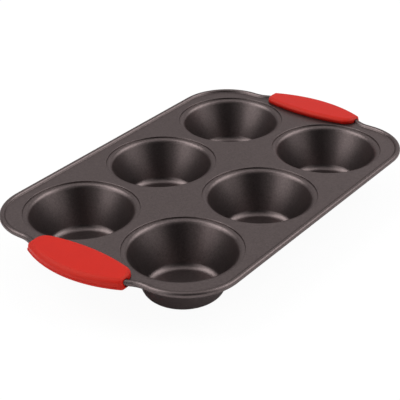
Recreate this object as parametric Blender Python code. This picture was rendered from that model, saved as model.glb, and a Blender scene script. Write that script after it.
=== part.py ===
"""Six-cup muffin pan with a rolled rim and two silicone grip sleeves.

Metres, +Z up. The pan stands on its six cups at z = 0, with its length along X. The origin is
under the pan's centre. Run it with: blender --background --python part.py
"""

import math

import bmesh
import bpy
from mathutils import Matrix, Vector

# Driving sizes, in metres
SHEET = 0.0008                  # thickness of the coated steel sheet
CUP_COLUMNS = 3
CUP_ROWS = 2
CUP_DEPTH = 0.0374              # plate's top face down to the cup's floor
RING_RADIUS = 0.048             # sunken ring around each mouth
RING_LAND = 0.009               # flat plate between two neighbouring rings
RING_DROP = 0.0012
RING_SLOPE = 0.0002             # how far the ring's step leans inwards
RING_FLOOR = 0.0004             # flat of the ring, before it turns over into the cup
LIP_RADIUS = 0.0048
FLOOR_RADIUS = 0.0273           # flat part of the cup's floor
FLOOR_CORNER = 0.0050           # inside radius between floor and wall

ROLL_RADIUS = 0.0025            # outside radius of the rolled rim
ROLL_FILLET = 0.0012            # hollow where the plate turns up into the roll
ROLL_DROP = 0.0005              # how much lower the roll's centre lies than the plate's top face
ROLL_END_ANGLE = -140           # where the curl stops, in degrees
RIM_MARGIN_X = 0.010            # ring's edge to the roll's centreline, on the short sides
RIM_MARGIN_Y = 0.011            # the same on the long sides
RIM_CORNER = 0.0447             # corner radius of the roll's centreline, where the handle leaves room

HANDLE_REACH = 0.014            # how far a handle's loop stands out past the short side
HANDLE_ARC = 0.120              # radius of the handle's outer bow
HANDLE_FLARE = 0.025            # radius where the short side turns out into the handle
WIRE_GAP = 0.00035              # play of the wire inside the roll

GRIP_LENGTH = 0.099             # sleeve's size across the pan
GRIP_OUTER_WALL = 0.0050        # silicone outside the roll, at the sleeve's middle
GRIP_OUTER_ARC = 0.105          # bow of the sleeve's outer edge
GRIP_WIDTH = 0.0350             # sleeve's size along the pan, at its middle
GRIP_INNER_ARC = 0.172          # bow of the sleeve's inner edge
GRIP_BOTTOM = 0.0022            # silicone under the roll
GRIP_TOP = 0.0018               # silicone over the roll, at the outer edge
GRIP_RISE = 0.0015              # how much higher the sleeve's inner edge is
GRIP_ROUNDING = 0.0026          # rounding along the sleeve's top edges
GRIP_UNDER_ROUNDING = 0.0010    # rounding along its bottom edges
GRIP_OUTER_CORNER = 0.0025      # corners of the sleeve, seen from above
GRIP_INNER_CORNER = 0.011
GRIP_GAP = 0.0003               # clearance between sleeve and roll

CUP_STEPS = 32
LIP_STEPS = 3
CORNER_STEPS = 3
RIM_CORNER_STEPS = 9
HANDLE_STEPS = 8
FLARE_STEPS = 3
CURL_STEPS = 10
WIRE_SIDES = 6
GRIP_STEPS = 12
GRIP_CORNER_STEPS = 3

# Sizes that follow from them
CUP_PITCH = 2 * RING_RADIUS + RING_LAND
LIP_START_RADIUS = RING_RADIUS - RING_SLOPE - RING_FLOOR
PLATE_TOP = CUP_DEPTH + SHEET
PLATE_UNDER = PLATE_TOP - SHEET
RIM_X = (CUP_COLUMNS - 1) * CUP_PITCH / 2 + RING_RADIUS + RIM_MARGIN_X
RIM_Y = (CUP_ROWS - 1) * CUP_PITCH / 2 + RING_RADIUS + RIM_MARGIN_Y
ROLL_HEIGHT = PLATE_TOP - ROLL_DROP
HANDLE_TIP = RIM_X + HANDLE_REACH
WIRE_RADIUS = ROLL_RADIUS - SHEET - WIRE_GAP
MERGE = 0.00001
UP = Vector((0, 0, 1))


def clear_scene():
    for old in list(bpy.data.objects):
        bpy.data.objects.remove(old)


def material(name, colour, roughness, metallic):
    made = bpy.data.materials.new(name)
    made.use_nodes = True
    shader = made.node_tree.nodes["Principled BSDF"]
    shader.inputs["Base Color"].default_value = (*colour, 1)
    shader.inputs["Roughness"].default_value = roughness
    shader.inputs["Metallic"].default_value = metallic
    return made


def finish(bm, name, look, parent, sharp=40):
    """Turns a bmesh into a named, smooth-shaded object of one material."""
    bmesh.ops.remove_doubles(bm, verts=bm.verts, dist=MERGE)
    bmesh.ops.recalc_face_normals(bm, faces=bm.faces)
    mesh = bpy.data.meshes.new(name)
    bm.to_mesh(mesh)
    bm.free()
    mesh.shade_smooth()
    mesh.set_sharp_from_angle(angle=math.radians(sharp))
    mesh.materials.append(look)
    made = bpy.data.objects.new(name, mesh)
    bpy.context.scene.collection.objects.link(made)
    made.parent = parent
    return made


def empty(name, place):
    made = bpy.data.objects.new(name, None)
    made.location = place
    bpy.context.scene.collection.objects.link(made)
    return made


def arc_points(centre, radius, start, end, steps):
    """Points of an arc in a plane, from one angle to another, in degrees."""
    turns = [math.radians(start + (end - start) * i / steps) for i in range(steps + 1)]
    return [(centre[0] + radius * math.cos(t), centre[1] + radius * math.sin(t)) for t in turns]


# The rim's centreline, as arcs and straight lines


def handle_geometry():
    """Centre of the handle's bow, of the flare beside it, and the angle where they meet."""
    bow = HANDLE_TIP - HANDLE_ARC
    across = RIM_X + HANDLE_FLARE - bow
    along = math.sqrt((HANDLE_ARC + HANDLE_FLARE) ** 2 - across ** 2)
    return bow, (RIM_X + HANDLE_FLARE, along), math.degrees(math.atan2(along, across))


def rim_quarter():
    """Arcs of the +X +Y quarter, from the handle's tip to the long side: centre, radius, angles, steps.

    A negative radius is a bow whose centre lies outside the pan."""
    bow, flare, meet = handle_geometry()
    turn = min(RIM_CORNER, RIM_Y - flare[1])
    corner = (RIM_X - turn, RIM_Y - turn)
    return [
        ((bow, 0), HANDLE_ARC, 0, meet, HANDLE_STEPS),
        (flare, -HANDLE_FLARE, meet, 0, FLARE_STEPS),
        (corner, turn, 0, 90, RIM_CORNER_STEPS),
    ]


def rim_stretches():
    """All arcs of the rim, once around, anticlockwise from the +X tip."""
    first = rim_quarter()
    stretches = list(first)
    for centre, radius, start, end, steps in reversed(first):
        stretches.append(((-centre[0], centre[1]), radius, 180 - end, 180 - start, steps))
    for centre, radius, start, end, steps in list(stretches):
        stretches.append(((-centre[0], -centre[1]), radius, start + 180, end + 180, steps))
    return stretches


def sweep_rim(bm, profile):
    """Carries a profile of (outwards, up) points around the rim and closes the ring.

    Each arc of the rim is a spin about its own centre, and the straight lines between them
    are extrusions. The profile's ends stay open unless it is a closed loop."""
    closed = profile[0] == profile[-1]
    points = profile[:-1] if closed else profile
    verts = [bm.verts.new((HANDLE_TIP + s, 0, ROLL_HEIGHT + z)) for s, z in points]
    pairs = list(zip(verts, verts[1:])) + ([(verts[-1], verts[0])] if closed else [])
    edges = [bm.edges.new(pair) for pair in pairs]
    here = Vector((HANDLE_TIP, 0, 0))
    for centre, radius, start, end, steps in rim_stretches():
        middle = Vector((*centre, 0))
        turn = Matrix.Rotation(math.radians(start), 3, "Z")
        begin = middle + turn @ Vector((radius, 0, 0))
        if (begin - here).length > MERGE:
            edges = extrude_along(bm, edges, begin - here)
        angle = math.radians(end - start)
        spun = bmesh.ops.spin(bm, geom=edges + edge_verts(edges), cent=middle, axis=UP,
                              angle=angle, steps=steps, use_merge=False)
        edges = [e for e in spun["geom_last"] if isinstance(e, bmesh.types.BMEdge)]
        here = middle + Matrix.Rotation(angle, 3, "Z") @ (begin - middle)
    bmesh.ops.remove_doubles(bm, verts=bm.verts, dist=MERGE)


def edge_verts(edges):
    return list({v for e in edges for v in e.verts})


def extrude_along(bm, edges, way):
    grown = bmesh.ops.extrude_edge_only(bm, edges=edges)["geom"]
    bmesh.ops.translate(bm, verts=[v for v in grown if isinstance(v, bmesh.types.BMVert)], vec=way)
    return [e for e in grown if isinstance(e, bmesh.types.BMEdge) and
            all(v in grown for v in e.verts)]


# The pan's sheet


def curl_profile():
    """The rolled rim in section, from the plate's top face round the curl to its underside."""
    middle = ROLL_RADIUS - SHEET / 2
    bend = ROLL_FILLET + SHEET / 2
    rise = ROLL_FILLET + ROLL_DROP
    reach = math.sqrt((middle + bend) ** 2 - rise ** 2)
    tilt = math.degrees(math.atan2(rise, reach))
    hollow = (-reach, rise)
    begin = 180 - tilt
    top = arc_points(hollow, ROLL_FILLET, -90, -tilt, 2)
    outside = arc_points((0, 0), ROLL_RADIUS, begin, ROLL_END_ANGLE, CURL_STEPS)
    inside = arc_points((0, 0), ROLL_RADIUS - SHEET, ROLL_END_ANGLE, begin, CURL_STEPS)
    under = arc_points(hollow, ROLL_FILLET + SHEET, -tilt, -90, 2)
    return top[:-1] + outside + inside + under[1:]


def cup_taper():
    """Angle of the cup's wall from the vertical: a straight line that touches lip and floor corner."""
    across = LIP_START_RADIUS - FLOOR_RADIUS
    down = CUP_DEPTH - FLOOR_CORNER - RING_DROP - LIP_RADIUS
    lean = math.atan2(across, down)
    turn = math.asin((LIP_RADIUS + FLOOR_CORNER) / math.hypot(across, down))
    return math.degrees(lean - turn)


def cup_profile(depth):
    """Half section of a cup, from the plate to the axis. depth is 0 on its top side and SHEET below."""
    taper = cup_taper()
    lip = (LIP_START_RADIUS, PLATE_TOP - RING_DROP - LIP_RADIUS)
    corner = (FLOOR_RADIUS, SHEET + FLOOR_CORNER)
    step = [
        (RING_RADIUS + depth, PLATE_TOP - depth),
        (RING_RADIUS + depth - RING_SLOPE, PLATE_TOP - RING_DROP - depth),
    ]
    over = arc_points(lip, LIP_RADIUS - depth, 90, 180 - taper, LIP_STEPS)
    below = arc_points(corner, FLOOR_CORNER + depth, -taper, -90, CORNER_STEPS)
    return step + over + below + [(0, SHEET - depth)]


def cup_centres():
    """Cup axes, column by column."""
    xs = [(i - (CUP_COLUMNS - 1) / 2) * CUP_PITCH for i in range(CUP_COLUMNS)]
    ys = [(i - (CUP_ROWS - 1) / 2) * CUP_PITCH for i in range(CUP_ROWS)]
    return [Vector((x, y, 0)) for x in xs for y in ys]


def spin_cup(bm, centre, depth):
    verts = [bm.verts.new(centre + Vector((r, 0, z))) for r, z in cup_profile(depth)]
    edges = [bm.edges.new(pair) for pair in zip(verts, verts[1:])]
    bmesh.ops.spin(bm, geom=verts + edges, cent=centre, axis=UP, angle=math.tau,
                   steps=CUP_STEPS, use_merge=True)


def fill_plate(bm, height):
    """Fills the plate between the rim and the six cups, at one height."""
    rims = [e for e in bm.edges if e.is_boundary and
            all(abs(v.co.z - height) < MERGE for v in e.verts)]
    bmesh.ops.triangle_fill(bm, use_beauty=True, use_dissolve=False, edges=rims, normal=UP)


def make_pan_shell(look, parent):
    bm = bmesh.new()
    sweep_rim(bm, curl_profile())
    for centre in cup_centres():
        spin_cup(bm, centre, 0)
        spin_cup(bm, centre, SHEET)
    bmesh.ops.remove_doubles(bm, verts=bm.verts, dist=MERGE)
    fill_plate(bm, PLATE_TOP)
    fill_plate(bm, PLATE_UNDER)
    return finish(bm, "pan_shell", look, parent)


def make_rim_wire(look, parent):
    bm = bmesh.new()
    ring = arc_points((0, 0), WIRE_RADIUS, 0, 360, WIRE_SIDES)
    sweep_rim(bm, ring[:-1] + ring[:1])
    return finish(bm, "rim_wire", look, parent, sharp=70)


# The grips, made for the +X handle and turned for the other


def grip_outer_tip():
    return HANDLE_TIP + ROLL_RADIUS + GRIP_GAP + GRIP_OUTER_WALL


def grip_side(centre, radius, corner, turn):
    """One long side of the sleeve with the rounded corners at its two ends, anticlockwise.

    The side is an arc about (centre, 0). A turn of 180 makes it the sleeve's inner side."""
    half = GRIP_LENGTH / 2 - corner
    across = math.sqrt((radius - corner) ** 2 - half ** 2)
    meet = math.degrees(math.atan2(half, across))
    side = -1 if turn else 1
    first = (centre + side * across, -side * half)
    last = (centre + side * across, side * half)
    points = arc_points(first, corner, turn - 90, turn - meet, GRIP_CORNER_STEPS)
    points += arc_points((centre, 0), radius, turn - meet, turn + meet, GRIP_STEPS)[1:-1]
    return points + arc_points(last, corner, turn + meet, turn + 90, GRIP_CORNER_STEPS)


def grip_outline():
    """The sleeve seen from above, anticlockwise."""
    outer_centre = grip_outer_tip() - GRIP_OUTER_ARC
    inner_centre = grip_outer_tip() - GRIP_WIDTH + GRIP_INNER_ARC
    outer = grip_side(outer_centre, GRIP_OUTER_ARC, GRIP_OUTER_CORNER, 0)
    return outer + grip_side(inner_centre, GRIP_INNER_ARC, GRIP_INNER_CORNER, 180)


def prism(bm, outline, low, high):
    """A closed upright prism over an outline."""
    verts = [bm.verts.new((x, y, low)) for x, y in outline]
    base = bm.faces.new(verts)
    grown = bmesh.ops.extrude_face_region(bm, geom=[base])["geom"]
    top = [v for v in grown if isinstance(v, bmesh.types.BMVert)]
    bmesh.ops.translate(bm, verts=top, vec=(0, 0, high - low))
    bmesh.ops.recalc_face_normals(bm, faces=bm.faces)
    return top


def round_edges(bm, edges, radius, steps):
    bmesh.ops.bevel(bm, geom=edges, offset=radius, offset_type="OFFSET", affect="EDGES",
                    segments=steps, profile=0.5, material=-1, clamp_overlap=True)


def level_edges(bm, height):
    return [e for e in bm.edges if all(abs(v.co.z - height) < MERGE for v in e.verts)]


def pocket_cutter():
    """The space that the sleeve keeps open: the handle, and its way out towards the cups."""
    bow, flare, meet = handle_geometry()
    half = ROLL_RADIUS + GRIP_GAP
    outer = arc_points((bow, 0), HANDLE_ARC + half, -meet, meet, 2 * HANDLE_STEPS)
    beside = arc_points(flare, HANDLE_FLARE - half, 180 + meet, 180, FLARE_STEPS)[1:]
    outer = [(x, -y) for x, y in reversed(beside)] + outer + beside
    open_side = grip_outer_tip() - 2 * GRIP_WIDTH
    bm = bmesh.new()
    outline = outer + [(open_side, outer[-1][1]), (open_side, outer[0][1])]
    prism(bm, outline, ROLL_HEIGHT - half, ROLL_HEIGHT + half)
    mesh = bpy.data.meshes.new("grip_pocket")
    bm.to_mesh(mesh)
    bm.free()
    cutter = bpy.data.objects.new("grip_pocket", mesh)
    bpy.context.scene.collection.objects.link(cutter)
    cutter.hide_render = True
    cutter.display_type = "WIRE"
    return cutter


def make_grip(name, look, parent, cutter, turn):
    low = ROLL_HEIGHT - ROLL_RADIUS - GRIP_GAP - GRIP_BOTTOM
    high = ROLL_HEIGHT + ROLL_RADIUS + GRIP_GAP + GRIP_TOP
    bm = bmesh.new()
    prism(bm, grip_outline(), low, high)
    round_edges(bm, level_edges(bm, high), GRIP_ROUNDING, 2)
    round_edges(bm, level_edges(bm, low), GRIP_UNDER_ROUNDING, 1)
    for v in bm.verts:
        if v.co.z > ROLL_HEIGHT:
            inwards = (grip_outer_tip() - v.co.x) / GRIP_WIDTH
            v.co.z += GRIP_RISE * inwards
    made = finish(bm, name, look, parent, sharp=30)
    made.rotation_euler.z = turn
    cut = made.modifiers.new("pocket", "BOOLEAN")
    cut.operation = "DIFFERENCE"
    cut.solver = "EXACT"
    cut.object = cutter
    return made


def make_grips(look):
    for name, turn in (("right_grip", 0), ("left_grip", math.pi)):
        slide = empty(name + "_slide", (0, 0, 0))
        cutter = pocket_cutter()
        cutter.name = name + "_pocket"
        cutter.parent = slide
        cutter.rotation_euler.z = turn
        make_grip(name, look, slide, cutter, turn)


def main():
    clear_scene()
    coated = material("dark non-stick coating", (0.10, 0.085, 0.083), 0.38, 0.75)
    wire = material("drawn steel wire", (0.45, 0.44, 0.43), 0.40, 1.0)
    silicone = material("red silicone", (0.60, 0.035, 0.022), 0.55, 0.0)
    pan = empty("pan", (0, 0, 0))
    make_pan_shell(coated, pan)
    make_rim_wire(wire, pan)
    make_grips(silicone)


main()
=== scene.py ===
# %% [markdown]
# # A six-cup muffin pan with pull-off silicone grips
#
# The pan is one sheet of thin steel: a flat plate, six deep cups drawn down out of it, and a rim
# that is rolled round a wire. A loop of the rim stands out at each short end as a handle, and a
# red silicone sleeve is pushed over each loop. This lesson builds the pan the way the press makes
# it: every round shape is a section that is spun or swept, and only then gets its thickness.
#
# The construction model is loaded first and isn't changed. The shown pieces are built in its
# frame, in metres, so each one sits where its construction node is.

# %% Load the construction model
import math

import bmesh
import bpy
from mathutils import Matrix, Vector


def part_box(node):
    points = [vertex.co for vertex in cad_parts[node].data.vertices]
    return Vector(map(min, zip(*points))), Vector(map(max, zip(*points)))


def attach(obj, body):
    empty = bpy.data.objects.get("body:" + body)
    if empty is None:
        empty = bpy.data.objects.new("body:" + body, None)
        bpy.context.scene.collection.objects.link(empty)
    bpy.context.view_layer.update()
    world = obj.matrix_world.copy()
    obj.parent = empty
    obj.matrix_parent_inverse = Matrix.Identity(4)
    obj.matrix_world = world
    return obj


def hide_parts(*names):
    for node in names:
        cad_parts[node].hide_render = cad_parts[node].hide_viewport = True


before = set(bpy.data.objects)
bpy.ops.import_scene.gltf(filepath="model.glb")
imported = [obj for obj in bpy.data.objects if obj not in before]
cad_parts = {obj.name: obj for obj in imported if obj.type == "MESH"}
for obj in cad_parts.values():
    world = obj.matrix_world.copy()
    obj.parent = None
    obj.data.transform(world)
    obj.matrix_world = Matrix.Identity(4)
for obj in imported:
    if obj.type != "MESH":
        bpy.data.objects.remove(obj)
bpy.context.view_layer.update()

print("nodes:", sorted(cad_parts))

# %% [markdown]
# ## Main sizes
#
# A few sizes of the sheet drive everything else. The heights, the handles' tips and the long
# sides come from the construction model's own box, so the looks can't drift away from it. The
# rest are the sizes that a press tool would have: the cups' pitch, the sheet and the rolled rim.

# %% Main sizes
SHEET = 0.0008                  # thickness of the coated steel
ROLL_RADIUS = 0.0025            # outside radius of the rolled rim
ROLL_DROP = 0.0005              # how much lower the roll's centre lies than the plate's top face
CUP_PITCH = 0.105
CUP_COLUMNS = 3
CUP_ROWS = 2
END_MARGIN = 0.058              # from the outer cups' axes to the roll's centreline

_, shell_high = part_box("pan_shell")
ROLL_HEIGHT = shell_high.z - ROLL_RADIUS
PLATE_TOP = ROLL_HEIGHT + ROLL_DROP
HANDLE_TIP = shell_high.x - ROLL_RADIUS         # centreline of the roll, at the handle's tip
RIM_Y = shell_high.y - ROLL_RADIUS              # centreline of the roll, on the long sides
RIM_X = CUP_PITCH * (CUP_COLUMNS - 1) / 2 + END_MARGIN      # and on the short sides
UP = Vector((0, 0, 1))
MERGE = 0.00001                 # points closer than this are one point
print(f"plate {PLATE_TOP * 1000:.1f} mm high, {2 * RIM_X * 1000:.0f} x {2 * RIM_Y * 1000:.0f} mm")

# %% [markdown]
# ## Helpers for building meshes
#
# A few small helpers carry most of the work. `new_piece` turns a bmesh into an object whose place
# is in its mesh. `rounded` is a drawing aid: it lays a wire through a few corner points and bevels
# each corner, which is how a section is drawn by hand. `grown_verts` and `grown_edges` pick what
# an extrude or a spin has just made.

# %% Helpers for building meshes
def new_piece(bm, name, sharp=35):
    """Turns a bmesh into a smooth object, whose edges stay crisp past an angle in degrees."""
    bmesh.ops.remove_doubles(bm, verts=bm.verts, dist=MERGE)
    bmesh.ops.recalc_face_normals(bm, faces=bm.faces)
    mesh = bpy.data.meshes.new(name)
    bm.to_mesh(mesh)
    bm.free()
    mesh.shade_smooth()
    mesh.set_sharp_from_angle(angle=math.radians(sharp))
    piece = bpy.data.objects.new(name, mesh)
    bpy.context.scene.collection.objects.link(piece)
    return piece


def grown_verts(geometry):
    return [v for v in geometry if isinstance(v, bmesh.types.BMVert)]


def grown_edges(geometry):
    return [e for e in geometry if isinstance(e, bmesh.types.BMEdge)]


def rounded(corners, steps):
    """Points of a line through (across, up, cut) corners, each cut back and rounded by its cut."""
    bm = bmesh.new()
    verts = [bm.verts.new((across, 0, up)) for across, up, _ in corners]
    start = verts[0].co.copy()
    for pair in zip(verts, verts[1:]):
        bm.edges.new(pair)
    for vert, (_, _, cut) in zip(verts, corners):
        if cut:
            bmesh.ops.bevel(bm, geom=[vert], offset=cut, offset_type="OFFSET", affect="VERTICES",
                            segments=steps, profile=0.5, material=-1, clamp_overlap=True)
    here = next(v for v in bm.verts if (v.co - start).length < MERGE)
    before = None
    points = [(here.co.x, here.co.z)]
    while True:
        onward = [e for e in here.link_edges if e is not before]
        if not onward:
            break
        before = onward[0]
        here = before.other_vert(here)
        points.append((here.co.x, here.co.z))
    bm.free()
    return points


print("a rounded right angle:", len(rounded([(0, 0, 0), (1, 0, 0.2), (1, 1, 0)], 4)), "points")

# %% [markdown]
# ## A cup's section
#
# On the real pan a cup is drawn out of the plate by a punch, so its section never has a sharp
# corner: the plate steps down into a shallow sunken ring, turns over a rounded lip, runs down a
# straight tapered wall and sweeps into the flat floor. It could be a lathe curve. A wire with
# rounded corners is easier to read, because each corner says where the two straight lines would
# meet and how much of them the rounding takes.

# %% A cup's section
RING_RADIUS = 0.0484            # edge of the sunken ring
RING_DROP = 0.0012
RING_STEP = 0.0003              # how far inwards its step leans
RING_FLOOR = 0.0007             # flat of the ring, before it turns over into the cup
RING_EDGE_CUT = 0.00035         # rounding of the step's edge
RING_FOOT_CUT = 0.00006         # and of its foot
LIP_RADIUS = 0.0048             # rounding where the ring turns over into the wall
FLOOR_RADIUS = 0.0260           # flat part of the cup's floor
FLOOR_CORNER = 0.0066           # rounding between the wall and the floor
PLATE_MARGIN = 0.0012           # plate that is still part of the cup's section
SECTION_STEPS = 7               # straight steps in each rounded corner


def cup_taper():
    """Lean of the cup's wall from the vertical: the line that touches lip and floor corner."""
    across = RING_RADIUS - RING_STEP - RING_FLOOR - FLOOR_RADIUS
    down = PLATE_TOP - RING_DROP - LIP_RADIUS - SHEET - FLOOR_CORNER
    return math.atan2(across, down) - math.asin((LIP_RADIUS + FLOOR_CORNER) / math.hypot(across, down))


def cup_section():
    """Points (radius, height) of the sheet's top side, from the plate to the cup's axis."""
    cut = math.tan((math.pi / 2 - cup_taper()) / 2)
    ring = PLATE_TOP - RING_DROP
    mouth = RING_RADIUS - RING_STEP - RING_FLOOR - LIP_RADIUS * cut
    return rounded([
        (RING_RADIUS + PLATE_MARGIN, PLATE_TOP, 0),
        (RING_RADIUS, PLATE_TOP, RING_EDGE_CUT),
        (RING_RADIUS - RING_STEP, ring, RING_FOOT_CUT),
        (mouth, ring, LIP_RADIUS * cut),
        (FLOOR_RADIUS + FLOOR_CORNER * cut, SHEET, FLOOR_CORNER * cut),
        (FLOOR_RADIUS / 2, SHEET, 0),
        (0, SHEET, 0),
    ], SECTION_STEPS)


cup_points = cup_section()
print("cup section:", len(cup_points), "points")

# %% [markdown]
# ## The rim's path
#
# Seen from above, the rim is a rounded rectangle with a shallow bow on each short side, the
# handle. One quarter of it is three arcs: half the handle's bow, the flare that turns back out of
# it, and the pan's corner. The other quarters are mirrored angles, so the list is written once.
# The straight stretches need no entry of their own, because each is what joins two arcs.

# %% The rim's path
HANDLE_BOW = 0.120              # radius of the handle's bow
HANDLE_FLARE = 0.025            # and of the flare at each end of it
RIM_CORNER = 0.0447             # and of the pan's corners
BOW_STEPS = 20
FLARE_STEPS = 10
RIM_CORNER_STEPS = 28
BOW_CENTRE = HANDLE_TIP - HANDLE_BOW


def flare_meeting():
    """Centre of the handle's flare, and the angle at which the bow runs into it."""
    across = RIM_X + HANDLE_FLARE - BOW_CENTRE
    along = math.sqrt((HANDLE_BOW + HANDLE_FLARE) ** 2 - across ** 2)
    return (RIM_X + HANDLE_FLARE, along), math.degrees(math.atan2(along, across))


FLARE_CENTRE, BOW_MEET = flare_meeting()


def rim_arcs(fineness=1.0):
    """The rim once around, anticlockwise from +X: centre, radius, two angles, steps."""
    corner = (RIM_X - RIM_CORNER, RIM_Y - RIM_CORNER)
    quarter = [
        ((BOW_CENTRE, 0), HANDLE_BOW, 0, BOW_MEET, round(BOW_STEPS * fineness)),
        (FLARE_CENTRE, -HANDLE_FLARE, BOW_MEET, 0, round(FLARE_STEPS * fineness)),
        (corner, RIM_CORNER, 0, 90, round(RIM_CORNER_STEPS * fineness)),
    ]
    arcs = list(quarter)
    for centre, radius, start, end, steps in reversed(quarter):
        arcs.append(((-centre[0], centre[1]), radius, 180 - end, 180 - start, steps))
    for centre, radius, start, end, steps in list(arcs):
        arcs.append(((-centre[0], -centre[1]), radius, start + 180, end + 180, steps))
    return arcs


print("rim:", len(rim_arcs()), "arcs, handles meet their flares at", round(BOW_MEET, 1), "degrees")

# %% [markdown]
# ## Sweeping a section round the rim
#
# A curve with a bevel object could carry the section, but it would turn the section a little
# wherever the path is unevenly divided. Here the rolled edge is made the way it is bent: around
# each arc of the path the section is spun about that arc's own centre, and along the straights it
# is extruded. The section therefore always stands square to the rim.

# %% Sweeping a section round the rim
def extrude_along(bm, edges, way):
    grown = bmesh.ops.extrude_edge_only(bm, edges=edges)["geom"]
    moved = grown_verts(grown)
    bmesh.ops.translate(bm, verts=moved, vec=way)
    return [e for e in grown_edges(grown) if all(v in moved for v in e.verts)]


def sweep_round_rim(bm, edges, fineness=1.0):
    """Carries section edges, which stand at the +X handle's tip, once round the rim."""
    here = Vector((HANDLE_TIP, 0, 0))
    for centre, radius, start, end, steps in rim_arcs(fineness):
        middle = Vector((*centre, 0))
        begin = middle + Matrix.Rotation(math.radians(start), 3, "Z") @ Vector((radius, 0, 0))
        if (begin - here).length > MERGE:
            edges = extrude_along(bm, edges, begin - here)
        ends = list(dict.fromkeys(v for e in edges for v in e.verts))
        angle = math.radians(end - start)
        spun = bmesh.ops.spin(bm, geom=edges + ends, cent=middle, axis=UP, angle=angle,
                              steps=steps, use_merge=False)
        edges = grown_edges(spun["geom_last"])
        here = middle + Matrix.Rotation(angle, 3, "Z") @ (begin - middle)
    bmesh.ops.remove_doubles(bm, verts=bm.verts, dist=MERGE)


print("once round the rim:", sum(steps for *_, steps in rim_arcs()), "steps along its arcs")

# %% [markdown]
# ## The rolled edge's section
#
# The plate turns up through a small hollow and is then rolled outwards and down round the wire,
# almost closing under the plate. Both bends are spins again: a single vertex is spun about the
# hollow's centre and then about the roll's centre, which draws the section as it would be bent.

# %% The rolled edge's section
ROLL_HOLLOW = 0.0006            # radius of the hollow where the plate turns up into the roll
ROLL_END = -140                 # where the curl stops, in degrees
RIM_FLAT = 0.0016               # flat plate that is still part of the section
HOLLOW_STEPS = 6
CURL_STEPS = 34


def draw_arc(bm, vert, centre, degrees, steps):
    """Spins one vertex about a centre in the XZ plane and returns its last copy and the new edges."""
    known = set(bm.edges)
    spun = bmesh.ops.spin(bm, geom=[vert], cent=centre, axis=(0, -1, 0),
                          angle=math.radians(degrees), steps=steps, use_merge=False)
    return grown_verts(spun["geom_last"])[0], [e for e in bm.edges if e not in known]


def roll_section(bm):
    """Edges of the rolled rim's section at the +X handle's tip, from the plate round the curl."""
    middle = ROLL_RADIUS - SHEET / 2
    bend = ROLL_HOLLOW + SHEET / 2
    rise = ROLL_HOLLOW + ROLL_DROP
    reach = math.sqrt((middle + bend) ** 2 - rise ** 2)
    tilt = math.degrees(math.atan2(rise, reach))
    roll = Vector((HANDLE_TIP, 0, ROLL_HEIGHT))
    hollow = roll + Vector((-reach, 0, rise))
    first = bm.verts.new(hollow + Vector((-RIM_FLAT, 0, -ROLL_HOLLOW)))
    foot = bm.verts.new(hollow + Vector((0, 0, -ROLL_HOLLOW)))
    flat = bm.edges.new((first, foot))
    crest, hollow_edges = draw_arc(bm, foot, hollow, 90 - tilt, HOLLOW_STEPS)
    step = crest.co - roll
    around = math.degrees(math.atan2(step.z, step.x)) - ROLL_END
    _, curl_edges = draw_arc(bm, crest, roll, -around, CURL_STEPS)
    return [flat] + hollow_edges + curl_edges


test = bmesh.new()
print("roll section:", len(roll_section(test)), "edges")
test.free()

# %% [markdown]
# ## The pan's sheet
#
# Spun cups and a swept rim leave the plate itself open. Its edge loops all lie at one height, so a
# single triangle fill closes the plate between the rim and the six mouths. The sheet is then one
# skin, and a Solidify modifier gives it its 0.8 mm on the under side. The skin must face up first,
# or the thickness would grow out of the plate.

# %% The pan's sheet
CUP_STEPS = 112                 # steps of a cup's full turn


def cup_axes():
    xs = [(i - (CUP_COLUMNS - 1) / 2) * CUP_PITCH for i in range(CUP_COLUMNS)]
    ys = [(i - (CUP_ROWS - 1) / 2) * CUP_PITCH for i in range(CUP_ROWS)]
    return [Vector((x, y, 0)) for x in xs for y in ys]


def spin_cup(bm, axis):
    verts = [bm.verts.new(axis + Vector((radius, 0, height))) for radius, height in cup_points]
    edges = [bm.edges.new(pair) for pair in zip(verts, verts[1:])]
    bmesh.ops.spin(bm, geom=verts + edges, cent=axis, axis=UP, angle=math.tau, steps=CUP_STEPS,
                   use_merge=True)


def fill_plate(bm):
    loops = [e for e in bm.edges if e.is_boundary and
             all(abs(v.co.z - PLATE_TOP) < MERGE for v in e.verts)]
    bmesh.ops.triangle_fill(bm, use_beauty=True, use_dissolve=False, edges=loops, normal=UP)


def face_up(bm):
    bmesh.ops.recalc_face_normals(bm, faces=bm.faces)
    plate = max(bm.faces, key=lambda f: f.calc_area())
    if plate.normal.z < 0:
        bmesh.ops.reverse_faces(bm, faces=bm.faces)


def make_pan_sheet():
    bm = bmesh.new()
    sweep_round_rim(bm, roll_section(bm))
    for axis in cup_axes():
        spin_cup(bm, axis)
    bmesh.ops.remove_doubles(bm, verts=bm.verts, dist=MERGE)
    fill_plate(bm)
    face_up(bm)
    mesh = bpy.data.meshes.new("pan_sheet")
    bm.to_mesh(mesh)
    bm.free()
    mesh.shade_smooth()
    piece = bpy.data.objects.new("pan_sheet", mesh)
    bpy.context.scene.collection.objects.link(piece)
    wall = piece.modifiers.new("thickness", "SOLIDIFY")
    wall.thickness = SHEET
    wall.offset = -1
    return piece


pan_sheet = make_pan_sheet()
print("pan sheet:", len(pan_sheet.data.polygons), "faces before its thickness")

# %% [markdown]
# ## The wire in the rim
#
# A rolled rim is curled round a steel wire, which stiffens it. The wire shows only from below,
# through the seam of the curl. It is a small circle on the same sweep, closed on itself.

# %% The wire in the rim
WIRE_GAP = 0.00035              # between the wire and the sheet that is curled round it
WIRE_RADIUS = ROLL_RADIUS - SHEET - WIRE_GAP
WIRE_SIDES = 12
WIRE_FINENESS = 0.6             # share of the sheet's steps that the hidden wire needs
ON_EDGE = Matrix.Rotation(math.radians(90), 4, "X")         # stands a flat circle up


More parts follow.
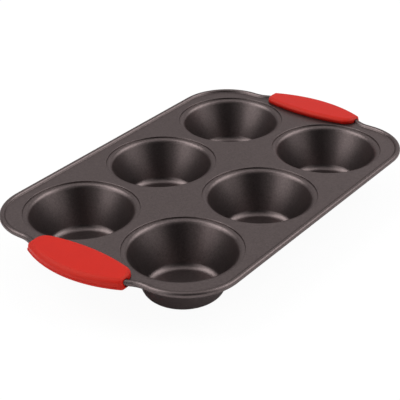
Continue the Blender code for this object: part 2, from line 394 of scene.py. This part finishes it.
def make_rim_wire():
    bm = bmesh.new()
    ring = bmesh.ops.create_circle(bm, cap_ends=False, radius=WIRE_RADIUS, segments=WIRE_SIDES)["verts"]
    upright = Matrix.Translation((HANDLE_TIP, 0, ROLL_HEIGHT)) @ ON_EDGE
    bmesh.ops.transform(bm, matrix=upright, verts=ring)
    sweep_round_rim(bm, list(bm.edges), fineness=WIRE_FINENESS)
    return new_piece(bm, "rim_wire_round", sharp=60)


rim_wire = make_rim_wire()
print("rim wire:", len(rim_wire.data.polygons), "faces")

# %% [markdown]
# ## The grips' outline and edges
#
# From above a grip is a lens: a well bowed outer side, a flatter inner side towards the cups, and
# rounded corners, tight outside and wide inside. Each side is one arc and the two corner arcs that
# end it, so the outline needs only radii. From the side, the top is flat and falls away to the
# outside in a sloped band, and a parting line runs round the wall low down.

# %% The grips' outline and edges
GRIP_LIFT = 0.0007              # how much higher the bottom is than its construction node's
GRIP_END_PLAY = 0.0006          # and how much shorter each end is
GRIP_TILT = 0.0015              # the inner edge is this much higher than the outer one
GRIP_OUTER_BOW = 0.105          # radius of the outer side
GRIP_INNER_BOW = 0.172          # and of the inner side
GRIP_OUTER_CORNER = 0.003
GRIP_INNER_CORNER = 0.011
GRIP_LEAST_CORNER = 0.0008      # what is left of a corner that is drawn in
GRIP_BOW_STEPS = 36
GRIP_CORNER_STEPS = 8

grip_low, grip_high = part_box("right_grip")
GRIP_TIP = grip_high.x
GRIP_BOTTOM = grip_low.z + GRIP_LIFT
GRIP_TOP = grip_high.z
GRIP_HALF = grip_high.y - GRIP_END_PLAY
GRIP_WIDTH = grip_high.x - grip_low.x


def arc(centre, radius, start, end, steps):
    """Points of an arc, each with its direction from the centre."""
    turns = [math.radians(start + (end - start) * i / steps) for i in range(steps + 1)]
    ways = [Vector((math.cos(t), math.sin(t))) for t in turns]
    return [(Vector(centre) + radius * way, way) for way in ways]


def grip_side(centre, bow, corner, half, turn):
    """One long side with the corners at its ends, anticlockwise; a turn of 180 is the inner side."""
    reach = half - corner
    across = math.sqrt((bow - corner) ** 2 - reach ** 2)
    meet = math.degrees(math.atan2(reach, across))
    side = -1 if turn else 1
    first = (centre + side * across, -side * reach)
    last = (centre + side * across, side * reach)
    points = arc(first, corner, turn - 90, turn - meet, GRIP_CORNER_STEPS)
    points += arc((centre, 0), bow, turn - meet, turn + meet, GRIP_BOW_STEPS)[1:-1]
    return points + arc(last, corner, turn + meet, turn + 90, GRIP_CORNER_STEPS)


def grip_outline(outside=0, inside=0, ends=0):
    """The outline, drawn in by some amount on its outer side, its inner side and at its ends."""
    half = GRIP_HALF - ends
    outer = max(GRIP_OUTER_CORNER - min(outside, ends), GRIP_LEAST_CORNER)
    inner = max(GRIP_INNER_CORNER - min(inside, ends), GRIP_LEAST_CORNER)
    points = grip_side(GRIP_TIP - GRIP_OUTER_BOW, GRIP_OUTER_BOW - outside, outer, half, 0)
    centre = GRIP_TIP - GRIP_WIDTH + GRIP_INNER_BOW
    return points + grip_side(centre, GRIP_INNER_BOW - inside, inner, half, 180)


print("grip outline:", len(grip_outline()), "points")

# %% [markdown]
# ## Stacking the grip up from its outline
#
# A bevel has one width all round, and this edge hasn't: its band is wide on the outer side and
# narrow at the ends and inside. So the grip is stacked like a layer cake. The bottom face is
# extruded again and again, and each new layer is the same outline drawn in a little further, by
# an amount of its own for the outer side, the inner side and the ends.

# %% Stacking the grip up from its outline
GRIP_SEAM = 0.0024              # height of the parting line above the grip's bottom
GRIP_LEDGE = 0.0003             # how far the lower half stands out there
GRIP_END_STEP = 0.0016          # and how much further at the ends
BOTTOM_INSET = 0.0026           # how far in the flat bottom face begins
BOTTOM_CUT = 0.0018             # rounding of the bottom edge
SEAM_CUT = 0.00015              # and of the parting line's edge
BAND_OUTSIDE = 0.0033           # width of the sloped band along the outer side
BAND_INSIDE = 0.0032
BAND_ENDS = 0.0022
BAND_DROP = 0.0022              # how far the band falls to the outer side
BAND_DROP_INSIDE = 0.0018
WALL_START = 1.8                # where the upper wall begins, in drops below the flat top
WALL_CUT = 0.6                  # rounding between the wall and the band, as a share of the band
TOP_CUT = 0.3                   # and between the band and the flat top
TOP_INSET = 1.4                 # where the flat top's face begins, in widths of the band
LOWER_STEPS = 5
UPPER_STEPS = 7


def lower_layers():
    """Layers (inset, height) of the lower half, from the bottom face up to the parting line."""
    edge = rounded([
        (BOTTOM_INSET, 0, 0),
        (0, 0, BOTTOM_CUT),
        (0, GRIP_SEAM, SEAM_CUT),
        (GRIP_LEDGE, GRIP_SEAM, 0),
    ], LOWER_STEPS)
    return [(inset, GRIP_BOTTOM + up) for inset, up in edge]


def upper_layers():
    """Layers (share of the band's width, share of its drop), from the wall up to the flat top."""
    return rounded([
        (0, WALL_START, 0),
        (0, 1, WALL_CUT),
        (1, 0, TOP_CUT),
        (TOP_INSET, 0, 0),
    ], UPPER_STEPS)


def top_height(x):
    return GRIP_TOP - GRIP_TILT * (x - grip_low.x) / GRIP_WIDTH


def lower_layer(inset, height):
    return [(*point, height) for point, _ in grip_outline(inset, inset, inset)]


def upper_layer(share, drop):
    """One layer above the parting line; its band falls further where the wall faces outwards."""
    outline = grip_outline(GRIP_LEDGE + BAND_OUTSIDE * share, GRIP_LEDGE + BAND_INSIDE * share,
                           GRIP_LEDGE + GRIP_END_STEP + BAND_ENDS * share)
    points = []
    for point, way in outline:
        outer = max(way.x, 0)
        fall = BAND_DROP_INSIDE + (BAND_DROP - BAND_DROP_INSIDE) * outer
        points.append((*point, top_height(point.x) - fall * drop))
    return points


def stack_layers(bm, layers):
    """Extrudes the first layer's face once for each further layer, and moves it onto that layer."""
    face = bm.faces.new([bm.verts.new(p) for p in layers[0]])
    for layer in layers[1:]:
        region = [face, *face.edges, *face.verts]
        grown = bmesh.ops.extrude_face_region(bm, geom=region)["geom"]
        face = next(g for g in grown if isinstance(g, bmesh.types.BMFace))
        for vert, place in zip(face.verts, layer):
            vert.co = place


def grip_blank():
    layers = [lower_layer(inset, up) for inset, up in lower_layers()]
    layers += [upper_layer(share, drop) for share, drop in upper_layers()]
    bm = bmesh.new()
    stack_layers(bm, layers)
    return new_piece(bm, "grip_blank", sharp=40)


blank = grip_blank()
print("grip blank:", len(blank.data.polygons), "faces")

# %% [markdown]
# ## The pocket in the grip
#
# The sleeve is hollow: a round channel holds the rolled rim, and a thin slot lets the plate
# through on the side of the cups. Both are Boolean cuts, because that is what they are on the
# real piece, space left by a core in the mould. The channel's cutter is a circle spun about the
# handle's own bow, so it follows the rim exactly. It widens a little towards the grip's two ends,
# which is the lead-in that lets the sleeve start over the handle.

# %% The pocket in the grip
CLEAR = 0.0003                  # between the silicone and the steel
CHANNEL_SIDES = 32
CHANNEL_STEPS = 48
MOUTH_START = math.radians(22)  # where the channel begins to widen towards the grip's ends
MOUTH_LENGTH = math.radians(2)
MOUTH_FLARE = 0.18              # how much wider it is after one mouth's length


def channel_cutter():
    bm = bmesh.new()
    ring = bmesh.ops.create_circle(bm, cap_ends=False, radius=ROLL_RADIUS + CLEAR,
                                   segments=CHANNEL_SIDES)["verts"]
    bmesh.ops.transform(bm, matrix=Matrix.Translation((HANDLE_BOW, 0, 0)) @ ON_EDGE, verts=ring)
    to_first_end = Matrix.Rotation(-math.radians(BOW_MEET), 3, "Z")
    bmesh.ops.rotate(bm, verts=ring, cent=(0, 0, 0), matrix=to_first_end)
    bmesh.ops.spin(bm, geom=ring + list(bm.edges), cent=(0, 0, 0), axis=UP,
                   angle=2 * math.radians(BOW_MEET), steps=CHANNEL_STEPS, use_merge=False)
    bmesh.ops.holes_fill(bm, edges=[e for e in bm.edges if e.is_boundary], sides=0)
    bmesh.ops.remove_doubles(bm, verts=bm.verts, dist=MERGE)
    for vert in bm.verts:
        turn = math.atan2(vert.co.y, vert.co.x)
        along = max(abs(turn) - MOUTH_START, 0) / MOUTH_LENGTH
        middle = Vector((HANDLE_BOW * math.cos(turn), HANDLE_BOW * math.sin(turn), 0))
        vert.co += (vert.co - middle) * MOUTH_FLARE * along ** 2
    bmesh.ops.translate(bm, verts=bm.verts, vec=(BOW_CENTRE, 0, ROLL_HEIGHT))
    return new_piece(bm, "channel_cutter")


def slot_cutter():
    """A thin slab from the channel's centreline to well past the grip's inner side."""
    bow = arc((BOW_CENTRE, 0), HANDLE_BOW, -BOW_MEET, BOW_MEET, CHANNEL_STEPS)
    points = [point for point, _ in bow]
    inside = GRIP_TIP - 2 * GRIP_WIDTH
    points += [Vector((inside, points[-1].y)), Vector((inside, points[0].y))]
    bm = bmesh.new()
    low = PLATE_TOP - SHEET - CLEAR
    face = bm.faces.new([bm.verts.new((p.x, p.y, low)) for p in points])
    grown = bmesh.ops.extrude_face_region(bm, geom=[face])["geom"]
    bmesh.ops.translate(bm, verts=grown_verts(grown), vec=(0, 0, SHEET + 2 * CLEAR))
    return new_piece(bm, "slot_cutter")


def cut(piece, cutter):
    """Cuts one piece with another for good, and throws the cutter away."""
    boolean = piece.modifiers.new("cut", "BOOLEAN")
    boolean.operation = "DIFFERENCE"
    boolean.solver = "EXACT"
    boolean.object = cutter
    bpy.context.view_layer.update()
    evaluated = piece.evaluated_get(bpy.context.evaluated_depsgraph_get())
    mesh = bpy.data.meshes.new_from_object(evaluated)
    piece.modifiers.clear()
    piece.data = mesh
    bpy.data.objects.remove(cutter)


cut(blank, channel_cutter())
cut(blank, slot_cutter())
print("grip with its pocket:", len(blank.data.polygons), "faces")

# %% [markdown]
# ## Two grips from one blank
#
# Both sleeves come out of one mould. The blank is made for the +X handle, and the other grip is
# the same mesh turned half a turn about the pan's upright axis. The turn is written into the mesh,
# so that both objects stay unturned at the origin.

# %% Two grips from one blank
def make_grip(name, turn):
    mesh = blank.data.copy()
    mesh.name = name
    mesh.transform(Matrix.Rotation(turn, 4, "Z"))
    piece = bpy.data.objects.new(name, mesh)
    bpy.context.scene.collection.objects.link(piece)
    return piece


right_sleeve = make_grip("right_sleeve", 0)
left_sleeve = make_grip("left_sleeve", math.pi)
bpy.data.objects.remove(blank)
print("grips:", right_sleeve.name, left_sleeve.name)

# %% [markdown]
# ## Writing shaders as expressions
#
# A material is a small graph of nodes. `Nodes` makes any node with one method, and `Value` wraps a
# node's output, so that sums and products of values can be written as ordinary Python and turn
# into Math nodes.

# %% Writing shaders as expressions
class Value:
    """An output of a node. + - and * between values add Math nodes."""

    def __init__(self, nodes, socket):
        self.nodes = nodes
        self.socket = socket

    def math(self, operation, first, second):
        return self.nodes.add("ShaderNodeMath", {"operation": operation}, {0: first, 1: second})

    def __add__(self, other):
        return self.math("ADD", self, other)

    def __sub__(self, other):
        return self.math("SUBTRACT", self, other)

    def __rsub__(self, other):
        return self.math("SUBTRACT", other, self)

    def __mul__(self, other):
        return self.math("MULTIPLY", self, other)

    __radd__ = __add__
    __rmul__ = __mul__


class Nodes:
    """A node tree, and one method that makes any of its nodes."""

    def __init__(self, tree):
        self.tree = tree

    def add(self, kind, settings=None, sockets=None, output=0):
        node = self.tree.nodes.new(kind)
        for name, setting in (settings or {}).items():
            setattr(node, name, setting)
        for key, value in (sockets or {}).items():
            self.plug(value, node.inputs[key])
        return Value(self, node.outputs[output])

    def plug(self, value, socket):
        if isinstance(value, Value):
            self.tree.links.new(value.socket, socket)
        else:
            socket.default_value = value

    def noise(self, place, scale, detail=2, roughness=0.5):
        return self.add("ShaderNodeTexNoise", {}, {
            "Vector": place, "Scale": scale, "Detail": detail, "Roughness": roughness})

    def mix(self, share, first, second):
        """Mixes two colours; sockets 6 and 7, and output 2, are the colour ones of a Mix node."""
        return self.add("ShaderNodeMix", {"data_type": "RGBA"}, {0: share, 6: first, 7: second}, output=2)


def new_finish(name):
    """A new material, its nodes, its Principled shader and the piece's own coordinates."""
    material = bpy.data.materials.new(name)
    material.use_nodes = True
    nodes = Nodes(material.node_tree)
    shader = material.node_tree.nodes["Principled BSDF"]
    place = nodes.add("ShaderNodeTexCoord", output="Object")
    return material, nodes, shader, place


print("shader helpers ready")

# %% [markdown]
# ## The non-stick coating
#
# The coating is a thin dark film over steel, and it shines softly, like a satin metal with a very
# low reflectance. Close up it is grainy: the film is sprayed and baked. So a grain and a coarser
# mottle mix two tones of its colour, the grain roughens it, grain and pores together work as a
# bump, and a broad cloud in the roughness keeps large flat areas from looking computed.

# %% The non-stick coating
COATING_DARK = (0.071, 0.0566, 0.0558, 1)
COATING_LIGHT = (0.123, 0.0982, 0.0966, 1)
COATING_EDGE = (0.8, 0.74, 0.74, 1)             # tint of its shine where it is seen edge on
SKIN_RELIEF = 0.00004           # depth of the finest relief on coating and silicone


def make_coating():
    material, nodes, shader, place = new_finish("non-stick coating")
    cloud = nodes.noise(place, 26, detail=3)
    mottle = nodes.noise(place, 620, detail=2)
    grain = nodes.noise(place, 1300, detail=3, roughness=0.65)
    pores = nodes.noise(place, 5200, detail=1)
    tone = nodes.mix(1.3 * grain + 1.3 * mottle - 0.8, COATING_DARK, COATING_LIGHT)
    nodes.plug(tone, shader.inputs["Base Color"])
    nodes.plug(0.27 + 0.05 * cloud + 0.09 * grain, shader.inputs["Roughness"])
    shader.inputs["Metallic"].default_value = 0.9
    shader.inputs["Specular Tint"].default_value = COATING_EDGE
    bump = nodes.add("ShaderNodeBump", {}, {
        "Strength": 0.35, "Distance": SKIN_RELIEF, "Height": 0.5 * pores + 0.5 * grain})
    nodes.plug(bump, shader.inputs["Normal"])
    return material


coating = make_coating()
print("finish:", coating.name)

# %% [markdown]
# ## Red silicone
#
# Moulded silicone is matt and evenly coloured all through. What keeps it from looking like paint
# is a faint bloom in its colour, and a fine satin skin from the mould in its roughness and bump.

# %% Red silicone
SILICONE_DEEP = (0.400, 0.0040, 0.0015, 1)
SILICONE_BLOOM = (0.450, 0.0080, 0.0030, 1)
SILICONE_SHINE = (1, 0.96, 0.76, 1)             # tint of what it reflects


def make_silicone():
    material, nodes, shader, place = new_finish("red silicone")
    skin = nodes.noise(place, 1500, detail=2)
    bloom = nodes.noise(place, 60, detail=3)
    tone = nodes.mix(bloom, SILICONE_DEEP, SILICONE_BLOOM)
    nodes.plug(tone, shader.inputs["Base Color"])
    nodes.plug(0.46 + 0.10 * bloom + 0.06 * skin, shader.inputs["Roughness"])
    shader.inputs["IOR"].default_value = 1.41
    shader.inputs["Specular IOR Level"].default_value = 0.3
    shader.inputs["Specular Tint"].default_value = SILICONE_SHINE
    bump = nodes.add("ShaderNodeBump", {}, {"Strength": 0.3, "Distance": SKIN_RELIEF, "Height": skin})
    nodes.plug(bump, shader.inputs["Normal"])
    return material


silicone = make_silicone()
print("finish:", silicone.name)

# %% [markdown]
# ## Drawn wire
#
# The wire was pulled through a die, which leaves fine marks on its skin. They turn with the rim,
# so a fine noise in colour and roughness stands in for them, the same in every direction.

# %% Drawn wire
WIRE_DARK = (0.36, 0.35, 0.34, 1)
WIRE_LIGHT = (0.52, 0.51, 0.50, 1)


def make_wire_finish():
    material, nodes, shader, place = new_finish("drawn wire")
    marks = nodes.noise(place, 900, detail=2)
    tone = nodes.mix(marks, WIRE_DARK, WIRE_LIGHT)
    nodes.plug(tone, shader.inputs["Base Color"])
    nodes.plug(0.34 + 0.14 * marks, shader.inputs["Roughness"])
    shader.inputs["Metallic"].default_value = 1.0
    return material


wire_finish = make_wire_finish()
print("finish:", wire_finish.name)

# %% [markdown]
# ## Putting each piece on its body
#
# Each shown piece takes its finish, stands for its construction node, and rides on the body that
# moves it. Both grips pull off, so each sleeve rides on its own grip body.

# %% Putting each piece on its body
def place_piece(piece, finish, node, body):
    piece.data.materials.clear()
    piece.data.materials.append(finish)
    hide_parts(node)
    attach(piece, body)


place_piece(pan_sheet, coating, "pan_shell", "pan")
place_piece(rim_wire, wire_finish, "rim_wire", "pan")
place_piece(left_sleeve, silicone, "left_grip", "left_grip")
place_piece(right_sleeve, silicone, "right_grip", "right_grip")

# %% [markdown]
# ## The camera
#
# The camera stands in front of the pan's left end, looks down at 29 degrees and is turned by about
# one degree on its own axis. Its long lens keeps the far cups almost as large as the near ones.

# %% The camera
CAMERA_PLACE = Vector((-0.7043, -0.5275, 0.4716 + PLATE_TOP))
CAMERA_AIM = Vector((-0.0369, -0.0180, PLATE_TOP))
CAMERA_ROLL = 1.02              # degrees
CAMERA_LENS = 104.7             # focal length in mm
CAMERA_SENSOR = 36              # width in mm
CAMERA_NEAREST = 0.01           # nearest distance that it shows


def make_camera():
    data = bpy.data.cameras.new("camera")
    data.lens = CAMERA_LENS
    data.sensor_width = CAMERA_SENSOR
    data.clip_start = CAMERA_NEAREST
    camera = bpy.data.objects.new("camera", data)
    bpy.context.scene.collection.objects.link(camera)
    aim = (CAMERA_AIM - CAMERA_PLACE).to_track_quat("-Z", "Y").to_matrix().to_4x4()
    camera.matrix_world = Matrix.Translation(CAMERA_PLACE) @ aim @ Matrix.Rotation(
        -math.radians(CAMERA_ROLL), 4, "Z")
    bpy.context.scene.camera = camera
    return camera


camera = make_camera()
print("camera", round((CAMERA_AIM - CAMERA_PLACE).length, 3), "m from its aim")

# %% [markdown]
# ## Floor and studio
#
# A dark satin metal shows what surrounds it more than it shows its own colour, so the light is
# painted where it comes from: the sky holds soft round patches, each with its own strength, as a
# studio holds its softboxes. Most of them stand to the left and right, and the room behind the
# camera stays dark between them. The camera itself sees plain white instead of the sky, and the
# white floor keeps a faint shadow.

# %% Floor and studio
FRONT = Vector((CAMERA_PLACE.x, CAMERA_PLACE.y, 0)).normalized()
FLOOR_HALF = 3.0                # half of the floor's side, in metres
FLOOR_COLOUR = (0.92, 0.92, 0.92, 1)
FLOOR_WHITE = 0.95              # share of plain white in what the camera sees of the floor
WHITE = (1, 1, 1, 1)
BOX_CORE = 0.3                  # share of a softbox's opening that is evenly bright
SOFTBOXES = [                   # degrees round from the camera, degrees up, opening, strength
    # low, all round: the walls of the cups and of the grips
    (-145, 12, 28, 0.5), (-90, 5, 30, 0.2), (-60, 5, 30, 0.9), (-30, 10, 30, 0.3),
    (60, 5, 30, 0.55), (90, 5, 30, 0.55), (120, 5, 30, 0.3), (150, 10, 30, 0.6),
    # a third of the way up, strongest at the sides: the plate and the cups' walls
    (-90, 32, 28, 1.2), (-60, 32, 28, 1.9), (60, 32, 28, 0.8), (90, 32, 28, 1.5),
    (150, 32, 28, 0.2), (180, 32, 28, 0.65), (-150, 32, 28, 0.2),
    # two strong ones high at the sides and a small one below: highlights of lips and roll
    (-103, 54, 25, 4.9), (106, 52, 25, 3.9), (118, 30, 16, 2.0),
    # overhead and high up: what the flat faces reflect
    (0, 90, 32, 0.6), (60, 62, 32, 0.1), (180, 62, 32, 0.65),
]


def make_floor():
    bm = bmesh.new()
    bmesh.ops.create_grid(bm, x_segments=1, y_segments=1, size=FLOOR_HALF)
    floor = new_piece(bm, "floor")
    material = bpy.data.materials.new("white floor")
    material.use_nodes = True
    nodes = Nodes(material.node_tree)
    shader = material.node_tree.nodes["Principled BSDF"]
    output = material.node_tree.nodes["Material Output"]
    shader.inputs["Base Color"].default_value = FLOOR_COLOUR
    shader.inputs["Roughness"].default_value = 0.9
    shader.inputs["Specular IOR Level"].default_value = 0.0
    glow = nodes.add("ShaderNodeEmission", {}, {"Color": WHITE, "Strength": 1.0})
    seen = nodes.add("ShaderNodeLightPath", output="Is Camera Ray")
    shown = nodes.add("ShaderNodeMixShader", {}, {
        0: FLOOR_WHITE * seen, 1: Value(nodes, shader.outputs[0]), 2: glow})
    nodes.plug(shown, output.inputs["Surface"])
    floor.data.materials.append(material)
    return floor


def patch(nodes, way, around, up, half):
    """A softbox in the sky: 1 in its middle, fading to 0 at half its opening angle."""
    level = Matrix.Rotation(math.radians(around), 3, "Z") @ FRONT
    middle = level * math.cos(math.radians(up)) + UP * math.sin(math.radians(up))
    towards = nodes.add("ShaderNodeVectorMath", {"operation": "DOT_PRODUCT"}, {
        0: way, 1: middle}, output="Value")
    return nodes.add("ShaderNodeMapRange", {"interpolation_type": "SMOOTHSTEP"}, {
        "Value": towards, "From Min": math.cos(math.radians(half)),
        "From Max": math.cos(math.radians(BOX_CORE * half)), "To Min": 0.0, "To Max": 1.0})


def make_world():
    world = bpy.data.worlds.new("studio")
    bpy.context.scene.world = world
    world.use_nodes = True
    nodes = Nodes(world.node_tree)
    background = world.node_tree.nodes["Background"]
    way = nodes.add("ShaderNodeTexCoord", output="Generated")
    light = sum(strength * patch(nodes, way, around, up, half)
                for around, up, half, strength in SOFTBOXES)
    seen = nodes.add("ShaderNodeLightPath", output="Is Camera Ray")
    nodes.plug(seen + (1 - seen) * light, background.inputs["Strength"])
    background.inputs["Color"].default_value = WHITE


floor = make_floor()
make_world()
bpy.context.scene.view_settings.view_transform = "Standard"
print("floor, and a sky of", len(SOFTBOXES), "softboxes")
